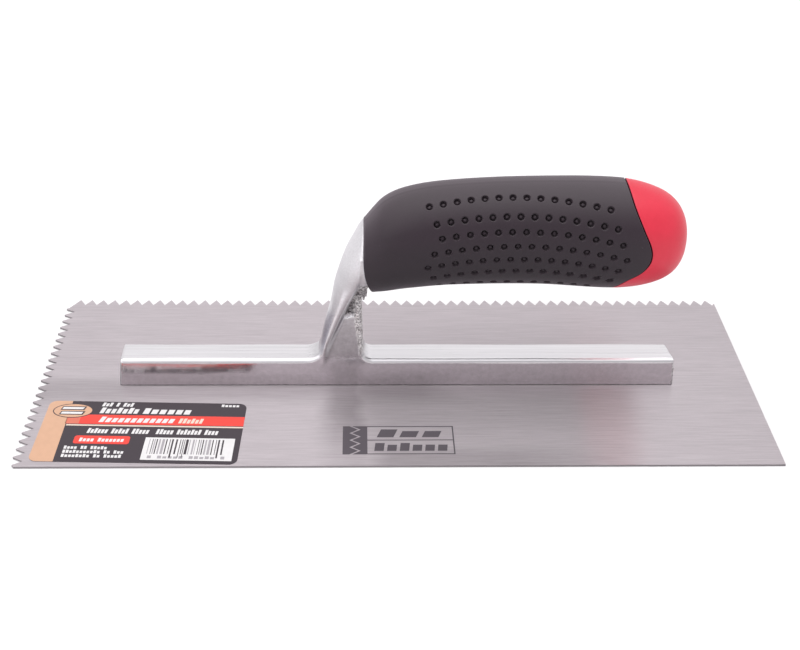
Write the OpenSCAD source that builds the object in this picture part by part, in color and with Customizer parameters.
// Notched trowel: a flat steel blade with V notches along one long and one short edge,
// riveted to a cast aluminium mounting (bar, neck and tang in one casting), and a two-part
// moulded handle. Millimetres, +Z up. The origin is the centre of the blade's underside,
// +X runs along the blade towards the handle's butt, and +Y points to the notched long edge.

/* [Blade] */
// Length of the blade
blade_length = 279.4; // [220:0.1:360]
// Width of the blade, over the tips of the notches
blade_width = 114.3; // [100:0.1:140]
// Thickness of the steel
blade_thickness = 0.8; // [0.5:0.1:1.5]

/* [Notches] */
// Spacing of the V notches
notch_pitch = 4.84; // [4.6:0.01:5]
// Depth of the V notches
notch_depth = 3.97; // [2:0.01:4.5]
// Width of the small flat on each tip
tip_flat = 0.3; // [0.1:0.1:0.8]
// Number of tips on the long notched edge
long_edge_tips = 57; // [40:1:57]
// Number of tips on the short notched edge
short_edge_tips = 23; // [15:1:23]

/* [Mounting] */
// Length of the mounting bar at its foot
bar_length = 217.8; // [180:0.1:240]
// Width of the mounting bar
bar_width = 13.6; // [12:0.1:16]
// Height of the bar's top above the blade's underside
bar_top = 12.2; // [10:0.1:14]
// Rounding of the bar's long top edges
bar_edge_radius = 1.8; // [0.5:0.1:3]
// How much shorter the bar is at its top, at each end
bar_end_draft = 1; // [0.2:0.1:2]
// How much narrower the bar is at its top, on each side
bar_side_draft = 0.7; // [0:0.1:1.5]

/* [Rivets] */
// Number of rivets along the bar
rivet_count = 8; // [4:2:8]
// Distance between rivets
rivet_pitch = 27; // [24:0.5:28]
// Diameter of a rivet's shank
rivet_shank_diameter = 4; // [3:0.5:5]
// Diameter of a rivet's countersunk head
rivet_head_diameter = 6.4; // [6:0.1:8]
// Depth of a rivet in the bar, above the blade
rivet_grip = 7; // [5:0.5:8]

/* [Handle] */
// Wall of the soft sleeve
grip_wall = 4; // [2.5:0.5:5]
// Roundness of the handle's section, where 2 is an ellipse
section_power = 2.15; // [2:0.05:2.6]
// Start of the handle, where it meets the neck's collar
handle_start = -13.5; // [-14:0.1:-13]
// End of the handle's butt
handle_end = 106.3; // [104:0.1:108]

/* [Label] */
// Length of the printed label
label_length = 75; // [60:1:76]
// Width of the printed label
label_width = 37; // [25:1:38]
// Thickness of the label's film
label_thickness = 0.12; // [0.08:0.01:0.3]

/* [Hidden] */

// Smoothness of the handle's and the neck's skins
ring_points = 40;
neck_ring_points = 32;
rings_under_grip = 20;
rings_on_butt = 12;

// Blade outline
half_length = blade_length / 2;
half_width = blade_width / 2;
rear_first_tip = -half_length + notch_pitch;
rear_last_tip = rear_first_tip + (long_edge_tips - 1) * notch_pitch;
notch_root_y = half_width - notch_depth;
notch_root_x = -half_length + notch_depth;
short_first_tip = 50.1;
clipped_corner = [-half_length + 1, short_first_tip + 0.6];
blunt_corner = [-half_length + 0.5, -half_width + 1.1];

// Handle lines, each a list of [x, z] that a smooth curve runs through
handle_top_line = [
    [-13.5, 69.5], [-6, 78], [4, 82.5], [20, 85],
    [50, 86.5], [80, 86], [96, 83], [106.5, 81.5]
];
handle_bottom_line = [
    [-13.5, 41.5], [-6, 42.5], [4, 44], [20, 45.5],
    [50, 46], [80, 44.5], [96, 46], [106.5, 46.5]
];
// Half width over half height, as [x, ratio]
handle_ratio = [[-13.5, 0.9], [10, 0.86], [60, 0.86], [106.5, 0.9]];
// Where the butt starts to close, and the powers of its dome
butt_start = 84;
butt_power = 3.15;
butt_root = 2.5;
// The lower part of the handle's front face leans back below this height
front_lean_height = 60;
front_lean = 0.012;
front_lean_length = 12;
// The seam between sleeve and butt: x against height in the section, from -1 (bottom) to 1 (top)
seam_line = [[-1, 77.5], [-0.8, 79.5], [-0.6, 82.5], [-0.4, 87.5], [-0.2, 90],
             [0, 90.5], [0.2, 89.5], [0.45, 87], [0.8, 83.5], [1, 82]];

// Neck: stations of its swept nose, from the bar up to the collar's face, each
// [centre x, centre z, direction of the nose, depth ahead, depth behind, half width]
neck_stations = [
    [-29.2, 11, 180, 1.8, 3, 6.6],
    [-28.4, 17.5, 180, 1.6, 3, 6.9],
    [-25.4, 26, 180, 3, 3, 7.5],
    [-22, 35, 178, 4.1, 3, 8.6],
    [-18.6, 42.7, 167, 6, 2.5, 10.2],
    [-16.6, 47.3, 155, 6.7, 2, 11.5],
    [-15.6, 50.5, 134, 7.4, 1.5, 12.2],
    [-14.8, 54, 106, 9.1, 1, 12.7],
    [-14.2, 55.4, 90, 13.9, 13.7, 12.7]
];
neck_rings = 25;
collar_centre = 55.4;
collar_half_height = [14, 13.8];
collar_half_width = 12.8;
collar_rim = 0.7;
// The collar's lower part is thicker and hooks under the handle's front face
hook_back = 2.6;
hook_front = 1.4;
hook_top = 47;
// Web between the nose and the handle side, as [x, z] of its side view
web_foot_left = -37;
web_left_fillet = 7;
web_right_fillet = 3.5;
web_right_x = -13.6;
web_top_right = [-14.5, 42];
web_waist = 34;
web_top_width = 9;

// Tang, cast with the mounting, with barbs that the core is moulded around
tang_width = 9;
tang_root = [48, 61];
tang_bend = [2, 58, 68];
tang_tip = [72, 61.5, 67.5];
barb_count = 4;
barb_pitch = 14;
barb_depth = 1.2;

// Label
label_centre = [-96, -36.7];
label_turn = -1.8;
label_corner = 3;

// Slope of a curve at point i of a list, for a smooth pass through it
function step_slope(line, i) = (line[i + 1][1] - line[i][1]) / (line[i + 1][0] - line[i][0]);
function slope(line, i) =
    i == 0 ? step_slope(line, 0)
    : i == len(line) - 1 ? step_slope(line, i - 1)
    : (step_slope(line, i - 1) * (line[i + 1][0] - line[i][0])
       + step_slope(line, i) * (line[i][0] - line[i - 1][0])) / (line[i + 1][0] - line[i - 1][0]);
function span_of(line, x, i = 0) = i >= len(line) - 2 || x < line[i + 1][0] ? i : span_of(line, x, i + 1);
function cubic(a, b, slope_a, slope_b, h, t) =
    (2 * t ^ 3 - 3 * t ^ 2 + 1) * a + (t ^ 3 - 2 * t ^ 2 + t) * h * slope_a
    + (3 * t ^ 2 - 2 * t ^ 3) * b + (t ^ 3 - t ^ 2) * h * slope_b;
function curve_in(line, x, i) =
    cubic(line[i][1], line[i + 1][1], slope(line, i), slope(line, i + 1),
          line[i + 1][0] - line[i][0], (x - line[i][0]) / (line[i + 1][0] - line[i][0]));
// Value at x of the smooth curve through a list of [x, value]
function curve(line, x) = curve_in(line, x, span_of(line, x));

// Sine and cosine of a superellipse
function squared(v, power) = sign(v) * pow(abs(v), 2 / power);

// How far the butt has closed at x, from 1 to 0
function butt_size(x) =
    x <= butt_start ? 1
    : pow(max(0, 1 - pow((x - butt_start) / (handle_end - butt_start), butt_power)), 1 / butt_root);

// A point on the handle's skin, or at a depth under it
function handle_point(x, angle, depth) =
    let (
        top = curve(handle_top_line, x),
        bottom = curve(handle_bottom_line, x),
        half = (top - bottom) / 2 * butt_size(x),
        y = (half * lookup(x, handle_ratio) - depth) * squared(cos(angle), section_power),
        z = (top + bottom) / 2 + (half - depth) * squared(sin(angle), section_power),
        lean = front_lean * pow(max(0, front_lean_height - z), 2)
               * max(0, 1 - (x - handle_start) / front_lean_length)
    )
    [x + lean, y, z];
function seam_x(angle) = curve(seam_line, squared(sin(angle), section_power));

// Rings of points: under or on the sleeve, and on the butt
function ring_angle(j) = 360 * j / ring_points;
function sleeve_ring(i, depth) = [
    for (j = [0 : ring_points - 1])
        let (along = pow(i / rings_under_grip, 1.4))
        handle_point(handle_start + (seam_x(ring_angle(j)) - handle_start) * along, ring_angle(j), depth)
];
function butt_ring(i) = [
    for (j = [0 : ring_points - 1])
        let (start = seam_x(ring_angle(j)), along = sin(89 * i / rings_on_butt))
        handle_point(start + (handle_end - start) * along, ring_angle(j), 0)
];

// One ring of the neck's nose at a place between stations
function station_line(k) = [for (i = [0 : len(neck_stations) - 1]) [i, neck_stations[i][k]]];
function station_value(place, k) = curve(station_line(k), place);
function neck_ring(place) =
    let (
        cx = station_value(place, 0),
        cz = station_value(place, 1),
        turn = station_value(place, 2),
        ahead = station_value(place, 3),
        behind = lookup(place, station_line(4)),
        half = station_value(place, 5)
    )
    [
        for (j = [0 : neck_ring_points - 1])
            let (
                angle = 360 * j / neck_ring_points,
                reach = squared(sin(angle), section_power) * (sin(angle) > 0 ? ahead : behind)
            )
            [cx + reach * cos(turn), half * squared(cos(angle), section_power), cz + reach * sin(turn)]
    ];

function average(ring) = [for (k = [0 : 2]) [for (p = ring) p[k]] * [for (p = ring) 1] / len(ring)];
function flatten(lists) = [for (list = lists) for (item = list) item];

// A closed solid through rings of equal length. Its ends are capped, or it runs round in a loop.
module skin(rings, loop = false) {
    n = len(rings[0]);
    last = len(rings) - 1;
    middle = len(rings) * n;
    sides = [
        for (i = [0 : loop ? last : last - 1])
            for (j = [0 : n - 1])
                let (
                    a = i * n + j,
                    b = i * n + (j + 1) % n,
                    c = ((i + 1) % len(rings)) * n + (j + 1) % n,
                    d = ((i + 1) % len(rings)) * n + j
                )
                each [[a, c, b], [a, d, c]]
    ];
    caps = [
        for (j = [0 : n - 1])
            each [
                [middle, j, (j + 1) % n],
                [middle + 1, last * n + (j + 1) % n, last * n + j]
            ]
    ];
    polyhedron(
        points = concat(flatten(rings), loop ? [] : [average(rings[0]), average(rings[last])]),
        faces = concat(sides, loop ? [] : caps)
    );
}

// Turns a side view, drawn as [x, z], into a plate of a given width across Y
module across(width) {
    rotate([90, 0, 0])
        translate([0, 0, -width / 2])
            linear_extrude(width) children();
}

module blade_outline() {
    flat = tip_flat / 2;
    right_rise = half_length - rear_last_tip - notch_pitch / 2;
    polygon(concat(
        [blunt_corner, [blunt_corner[0] + 0.8, -half_width], [half_length, -half_width]],
        [[half_length, notch_root_y + right_rise * notch_depth / (notch_pitch / 2)]],
        [
            for (i = [long_edge_tips - 1 : -1 : 0])
                let (x = rear_first_tip + i * notch_pitch)
                each [[x + notch_pitch / 2, notch_root_y], [x + flat, half_width], [x - flat, half_width]]
        ],
        [clipped_corner],
        [
            for (i = [0 : short_edge_tips - 2])
                let (y = short_first_tip - i * notch_pitch)
                each [
                    [-half_length, y + flat],
                    [-half_length, y - flat],
                    [notch_root_x, y - notch_pitch / 2]
                ]
        ]
    ));
}

function rivet_x(i) = (i - (rivet_count - 1) / 2) * rivet_pitch;

// The space a rivet fills: a head flush with the blade's underside and a shank
module rivet_body(i) {
    translate([rivet_x(i), 0, 0]) {
        cylinder(h = blade_thickness, d1 = rivet_head_diameter, d2 = rivet_shank_diameter, $fn = 48);
        cylinder(h = blade_thickness + rivet_grip, d = rivet_shank_diameter, $fn = 48);
    }
}

module blade() {
    color("silver")
        difference() {
            linear_extrude(blade_thickness) blade_outline();
            for (i = [0 : rivet_count - 1]) rivet_body(i);
        }
}

module rivet(i) {
    color("gainsboro") rivet_body(i);
}

// The bar's end view, with rounded top edges
module bar_section() {
    half = bar_width / 2;
    r = bar_edge_radius;
    shoulder = half - bar_side_draft - r;
    polygon(concat(
        [[-half, blade_thickness], [half, blade_thickness]],
        [for (a = [0 : 15 : 90]) [shoulder + r * cos(a), bar_top - r + r * sin(a)]],
        [for (a = [90 : 15 : 180]) [-shoulder + r * cos(a), bar_top - r + r * sin(a)]]
    ));
}

// The bar's side view, slightly shorter at the top
module bar_side() {
    half = bar_length / 2;
    polygon([
        [-half, blade_thickness], [half, blade_thickness],
        [half - bar_end_draft, bar_top + 1], [-half + bar_end_draft, bar_top + 1]
    ]);
}

module bar() {
    intersection() {
        rotate([90, 0, 90])
            translate([0, 0, -bar_length / 2])
                linear_extrude(bar_length) bar_section();
        across(bar_width + 1) bar_side();
    }
}

// Side view of the web, with a round fillet into the bar at each foot
module web_side(top) {
    left = web_left_fillet;
    right = web_right_fillet;
    rise = (top - 17.5) / (web_top_right[1] - 17.5);
    polygon(concat(
        [[web_foot_left, bar_top - 1]],
        [for (a = [-90 : 15 : -15]) [web_foot_left + left * cos(a), bar_top + left + left * sin(a)]],
        [[-28.4, 17.5 + 2], [-28.4 + 10.5 * rise, top]],
        [[web_right_x + (web_top_right[0] - web_right_x) * rise, top]],
        [for (a = [180 : 15 : 270])
            [web_right_x + right + right * cos(a), bar_top + right + right * sin(a)]],
        [[web_right_x + right, bar_top - 1]]
    ));
}

module collar_outline() {
    polygon([
        for (j = [0 : neck_ring_points - 1])
            let (
                angle = 360 * j / neck_ring_points,
                half = sin(angle) > 0 ? collar_half_height[0] : collar_half_height[1]
            )
            [collar_half_width * squared(cos(angle), section_power),
             collar_centre + half * squared(sin(angle), section_power)]
    ]);
}

module collar() {
    translate([handle_start, 0, 0])
        rotate([90, 0, 90]) {
            translate([0, 0, -collar_rim]) linear_extrude(collar_rim) collar_outline();
            translate([0, 0, -hook_back])
                linear_extrude(hook_back + hook_front)
                    intersection() {
                        collar_outline();
                        translate([-collar_half_width, 0]) square([2 * collar_half_width, hook_top]);
                    }
        }
}

// Side view of the tang: it rises from the collar, then runs straight with barbs on both edges
function tang_edge(side, x) =
    x < tang_bend[0]
    ? lookup(x, [[handle_start, tang_root[side]], [tang_bend[0], tang_bend[1 + side]]])
    : lookup(x, [[tang_bend[0], tang_bend[1 + side]], [tang_tip[0], tang_tip[1 + side]]]);
function barb_points(side) = [
    for (i = [0 : barb_count - 1])
        let (x = tang_tip[0] - (i + 0.5) * barb_pitch, out = side == 0 ? -barb_depth : barb_depth)
        each [
            [x, tang_edge(side, x)],
            [x - 0.01, tang_edge(side, x) + out],
            [x - 5, tang_edge(side, x - 5)]
        ]
];
function reversed(list) = [for (i = [len(list) - 1 : -1 : 0]) list[i]];

module tang() {
    across(tang_width)
        polygon(concat(
            [[handle_start - 1, tang_root[0]], [handle_start, tang_root[0]]],
            [[tang_bend[0], tang_bend[1]]],
            reversed(barb_points(0)),
            [[tang_tip[0], tang_tip[1]], [tang_tip[0], tang_tip[2]]],
            barb_points(1),
            [[tang_bend[0], tang_bend[2]]],
            [[handle_start, tang_root[1]], [handle_start - 1, tang_root[1]]]
        ));
}

module mounting() {
    color("lightgray")
        difference() {
            union() {
                bar();
                across(bar_width - 2 * bar_side_draft) web_side(web_waist);
                across(web_top_width) web_side(web_top_right[1]);
                skin([
                    for (i = [0 : neck_rings - 1])
                        neck_ring(i * (len(neck_stations) - 1) / (neck_rings - 1))
                ]);
                collar();
                tang();
            }
            for (i = [0 : rivet_count - 1]) rivet_body(i);
        }
}

// Hard red core: it fills the sleeve, takes the tang, and is the bare butt
module handle_core() {
    color("crimson")
        difference() {
            skin(concat(
                [for (i = [0 : rings_under_grip]) sleeve_ring(i, grip_wall)],
                [for (i = [0 : rings_on_butt]) butt_ring(i)]
            ));
            tang();
        }
}

// Soft black sleeve, open at both ends
module grip() {
    color([0.16, 0.15, 0.16])
        skin(concat(
            [for (i = [0 : rings_under_grip]) sleeve_ring(i, 0)],
            [for (i = [rings_under_grip : -1 : 0]) sleeve_ring(i, grip_wall)]
        ), loop = true);
}

// A rectangle with round corners, centred
module rounded_rectangle(length, width, radius) {
    polygon([
        for (corner = [0 : 3])
            for (a = [0 : 15 : 90])
                let (
                    sx = corner == 0 || corner == 3 ? 1 : -1,
                    sy = corner < 2 ? 1 : -1,
                    turn = 90 * corner + a
                )
                [
                    sx * (length / 2 - radius) + radius * cos(turn),
                    sy * (width / 2 - radius) + radius * sin(turn)
                ]
    ]);
}

module label() {
    color("dimgray")
        translate([label_centre[0], label_centre[1], blade_thickness])
            rotate(label_turn)
                linear_extrude(label_thickness) rounded_rectangle(label_length, label_width, label_corner);
}

blade();
mounting();
for (i = [0 : rivet_count - 1])
    rivet(i);
handle_core();
grip();
label();
